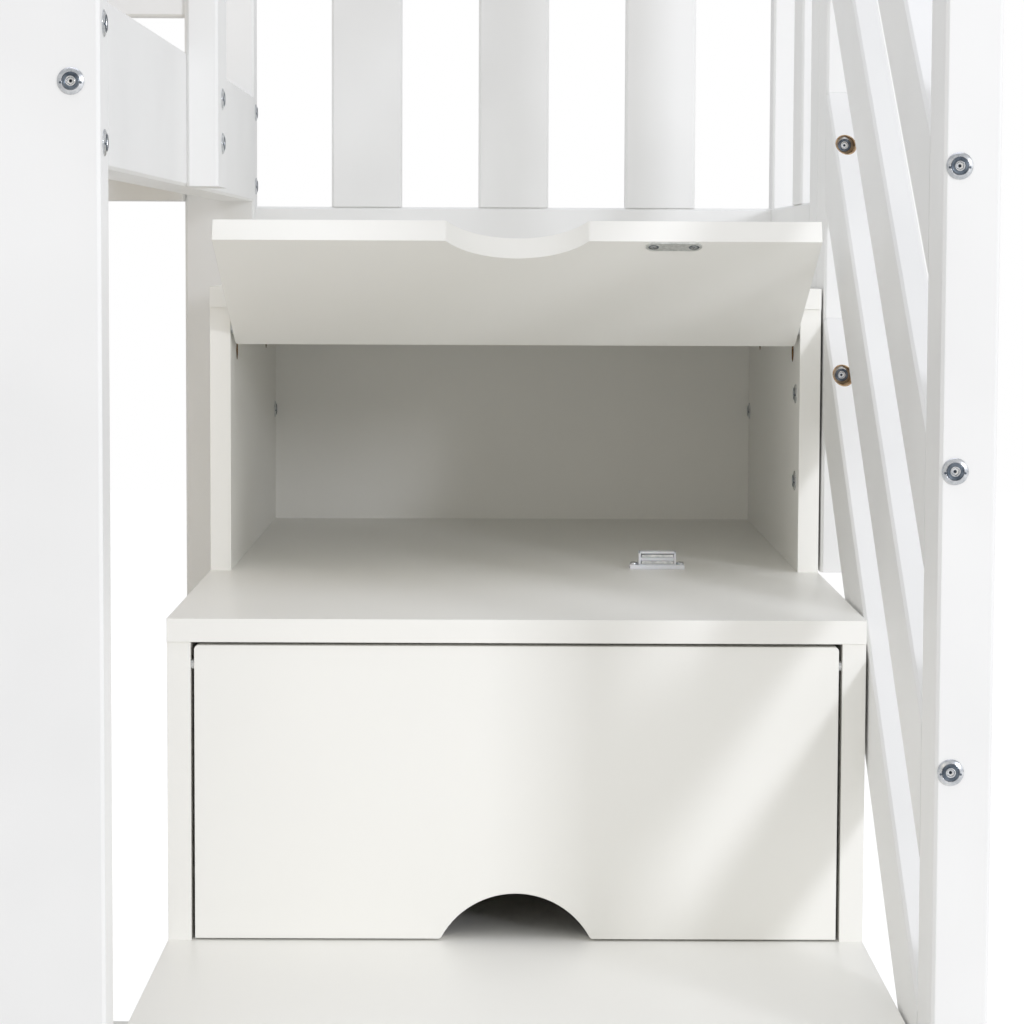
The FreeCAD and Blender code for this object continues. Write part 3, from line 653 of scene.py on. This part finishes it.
PAN_HEAD = [(3.1, 0.0), (3.1, 0.5), (2.7, 1.0), (1.9, 1.4), (1.35, 1.5), (cross(1.15, 0.4), 1.45),
            (cross(0.92, 0.32), 0.5)]
STRIKE_LENGTH, STRIKE_WIDTH, STRIKE_THICKNESS = 41.0, 13.6, 1.0
STRIKE_EDGE = 0.2
STRIKE_SCREW_OFFSET = 14.6
STRIKE_SCREW_SEAT = 0.42
STRIKE_SCREW_SIZE = (1.12, 1.12, 0.5)
# The dimple is a thin disc round a strike screw, a hair proud of the plate; its darker zinc is painted shade
# round the screw head.
DIMPLE = [(3.9, 0.0), (3.9, 0.6), (3.7, 0.64)]


def stadium_plate(length, width, thickness, edge, sides=16):
    """A plate with round ends, flat on z = 0, its long side along x."""
    shape = bmesh.new()
    loops = []
    for inset, height in ((0.0, 0.0), (0.0, thickness - edge), (edge, thickness)):
        radius = width / 2 - inset
        reach = length / 2 - width / 2
        ring = []
        for end, first in ((1, -math.pi / 2), (-1, math.pi / 2)):
            for side in range(sides + 1):
                turn = first + math.pi * side / sides
                ring.append(shape.verts.new(((end * reach + radius * math.cos(turn)) * MM,
                                             radius * math.sin(turn) * MM, height * MM)))
        loops.append(ring)
    skinned(shape, loops)
    return mesh_from("stadium_plate", shape)


def make_strikes():
    """A round-ended steel plate with two screws on each flap, turned with the flap where one rests open."""
    plate = stadium_plate(STRIKE_LENGTH, STRIKE_WIDTH, STRIKE_THICKNESS, STRIKE_EDGE)
    screw, dimple = turned("pan_head", PAN_HEAD), turned("dimple", DIMPLE)
    for joint in frame["joints"]:
        flap = joint["child"]
        name = flap + "_strike_plate"
        tilt = Matrix.Rotation(math.radians(min(0.0, joint["range_deg"][0])), 3, "X")
        outward, along = tilt @ Vector((0, 1, 0)), tilt @ Vector((0, 0, 1))
        points = solids_of(name)[0]
        middle = sum(points, Vector()) / len(points)
        at = facing(middle - outward * STRIKE_THICKNESS / 2 * MM, outward, along)
        seats = [at @ Matrix.Translation((side * STRIKE_SCREW_OFFSET * MM, 0, STRIKE_SCREW_SEAT * MM))
                 for side in (-1, 1)]
        placed_copies(flap + "_strike", plate, [at], satin_steel, flap, [name])
        placed_copies(flap + "_strike_screws", screw, [(seat, STRIKE_SCREW_SIZE) for seat in seats],
                      bright_zinc, flap)
        # Darker zinc discs under the screw heads: painted shade round the screws.
        placed_copies(flap + "_strike_dimples", dimple, seats, screw_shade_zinc, flap)


CATCH_FOOT = 3.4
CATCH_HEIGHT = 14.0
CATCH_DEPTH = 14.0
CATCH_FOOT_REACH = 21.7
CATCH_FRAME_REACH = 14.8
CATCH_FRAME_FRONT, CATCH_FRAME_BACK = 0.4, 12.4
CATCH_SCREW_PLACE = (18.3, 7.0, CATCH_FOOT)
CATCH_SCREW_SIZE = (1.05, 1.05, 1.4)


def catch_housing():
    """A foot, an upright frame with a middle bar between the two steel bars, and a closed back."""
    shape = bmesh.new()
    reach, front, back = CATCH_FRAME_REACH, CATCH_FRAME_FRONT, CATCH_FRAME_BACK
    soft_block(shape, (-CATCH_FOOT_REACH, 0, 0), (CATCH_FOOT_REACH, CATCH_DEPTH, CATCH_FOOT), 0.5)
    soft_block(shape, (-reach, front, 2.0), (reach, back, 4.2), 0.35)
    soft_block(shape, (-reach, front, 12.3), (reach, back, CATCH_HEIGHT), 0.5)
    soft_block(shape, (-13.2, 0.6, 6.7), (13.2, 12.2, 9.6), 0.3)
    soft_block(shape, (-reach, front, 2.0), (-12.9, back, CATCH_HEIGHT), 0.5)
    soft_block(shape, (12.9, front, 2.0), (reach, back, CATCH_HEIGHT), 0.5)
    soft_block(shape, (-13.0, 8.5, 2.2), (13.0, 12.0, 13.4), 0.2)
    return mesh_from("housing", shape)


def make_catches():
    """Moulded catch housings with screwed feet. The two steel bars in each stay as packed."""
    housings, screws = [], []
    across, deep, high_up = CATCH_SCREW_PLACE
    for points in solids_of("catch_bodies"):
        axis, low, high, middle = long_axis(points)
        foot = Vector((middle.x, low.y, low.z))
        housings.append(Matrix.Translation(foot))
        for side in (-1, 1):
            seat = Matrix.Translation(foot + MM * Vector((side * across, deep, high_up)))
            screws.append((seat, CATCH_SCREW_SIZE))
    placed_copies("catch_housings", catch_housing(), housings, white_polyamide, "frame",
                  ["catch_bodies"])
    placed_copies("catch_screws", turned("pan_head", PAN_HEAD), screws, bright_zinc, "frame")


make_strikes()
make_catches()

# ---------------------------------------------------------------- floor and light

FLOOR_HALF = 9.0
AMBIENT = 0.62
VIEW_GAMMA = 1.08
STAIR_MIDDLE = Vector((1.1, -0.1, 0.75))
# name, place in metres, watts, width and height in metres, colour
LAMPS = [
    ("key_softbox", (5.04, -5.42, 2.29), 136.0, (1.0, 1.0), "#F4F6FF"),
    ("overhead_softbox", (0.9, -0.7, 3.2), 15.5, (2.4, 1.8), "#F0F2FF"),
    ("right_fill", (4.4, -1.3, 1.7), 8.6, (2.0, 2.0), "#FFFFFF"),
    ("front_fill", (0.6, -4.4, 1.2), 7.0, (2.6, 2.0), "#FFEFD2"),
]


def make_floor():
    """A large flat floor under the object."""
    shape = bmesh.new()
    bmesh.ops.create_grid(shape, x_segments=1, y_segments=1, size=FLOOR_HALF)
    mesh = bpy.data.meshes.new("floor")
    shape.to_mesh(mesh)
    shape.free()
    mesh.materials.append(studio_floor())
    object_from("studio_floor", mesh)


def make_lamp(name, place, watts, size, colour):
    """One rectangular softbox that faces the stairs."""
    data = bpy.data.lights.new(name, "AREA")
    data.shape, data.size, data.size_y = "RECTANGLE", size[0], size[1]
    data.energy = watts
    data.color = linear(colour)[:3]
    light = object_from(name, data)
    light.matrix_world = facing(Vector(place), Vector(place) - STAIR_MIDDLE)


def make_light():
    """White surroundings, and a lamp at the front right that throws the handrail's shadows on the steps."""
    world = bpy.data.worlds.new("white_studio")
    bpy.context.scene.world = world
    world.use_nodes = True
    tree = world.node_tree
    seen = add_node(tree, "ShaderNodeLightPath").outputs["Is Camera Ray"]
    background = tree.nodes["Background"]
    tree.links.new(ramp_between(tree, seen, "#FCFDFF", "#FFFFFF", 0.0, 1.0), background.inputs["Color"])
    tree.links.new(spread(tree, seen, AMBIENT, 1.0), background.inputs["Strength"])
    for lamp in LAMPS:
        make_lamp(*lamp)
    bpy.context.scene.view_settings.view_transform = "Standard"
    bpy.context.scene.view_settings.gamma = VIEW_GAMMA


make_floor()
make_light()
